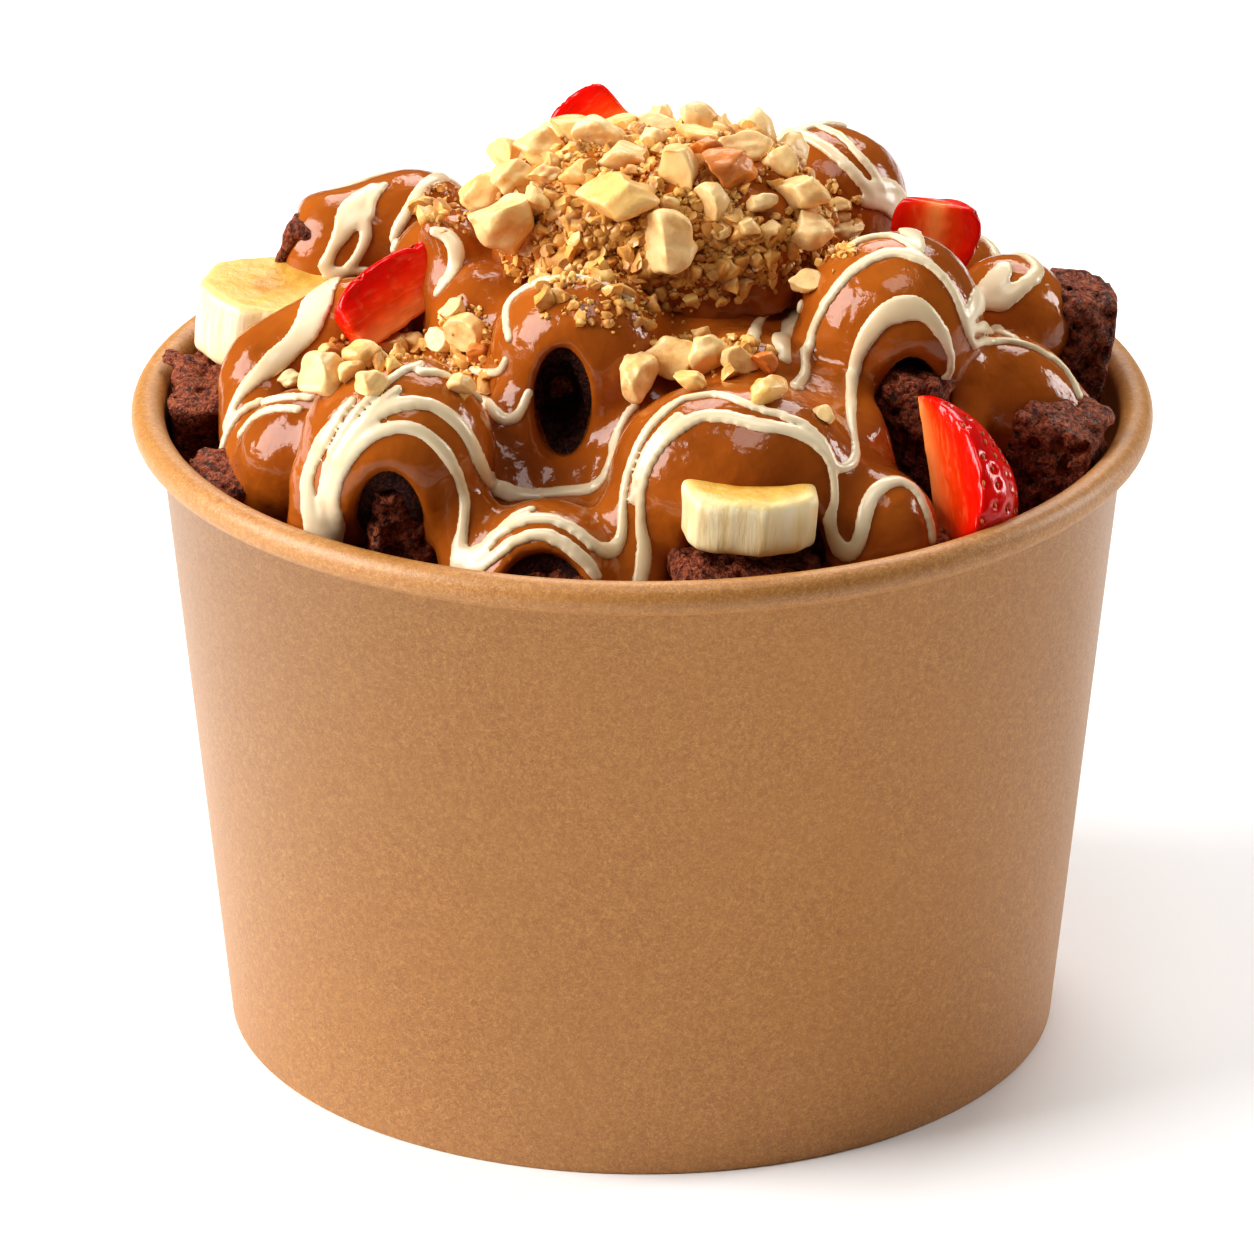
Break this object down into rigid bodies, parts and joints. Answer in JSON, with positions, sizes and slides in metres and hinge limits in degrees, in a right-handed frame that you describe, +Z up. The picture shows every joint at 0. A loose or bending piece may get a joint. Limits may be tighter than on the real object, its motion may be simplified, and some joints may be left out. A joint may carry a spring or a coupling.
{
  "type": "bubble waffle bucket",
  "caption": "Kraft paper tub heaped with chocolate bubble waffle under milk chocolate sauce, white chocolate strands, chopped nuts, strawberry pieces and banana slices.",
  "frame": {"origin": "centre of the tub's foot, on the surface it stands on", "axes": "+Z up along the tub's axis; the front, as pictured, faces -Y; +X is to the right of the front"},
  "size_m": [0.15, 0.15, 0.1397],
  "materials": {
    "kraft": "uncoated kraft paperboard, matt and finely speckled",
    "waffle": "porous dark chocolate crumb, slightly moist",
    "sauce": "glossy milk chocolate sauce with cream-white chocolate strands",
    "nuts": "chopped pale nuts, satin",
    "strawberry": "wet strawberry, glossy skin and cut flesh",
    "banana": "moist banana flesh, satin"
  },
  "bodies": {
    "root": {"cup_wall": "kraft", "cup_base": "kraft", "waffle": "waffle", "sauce": "sauce", "nuts": "nuts", "strawberry_front": "strawberry", "strawberry_left": "strawberry", "strawberry_right": "strawberry", "strawberry_top": "strawberry", "strawberry_rear_left": "strawberry", "strawberry_rear_right": "strawberry", "banana_left": "banana", "banana_front": "banana", "banana_rear": "banana"}
  },
  "joints": []
}
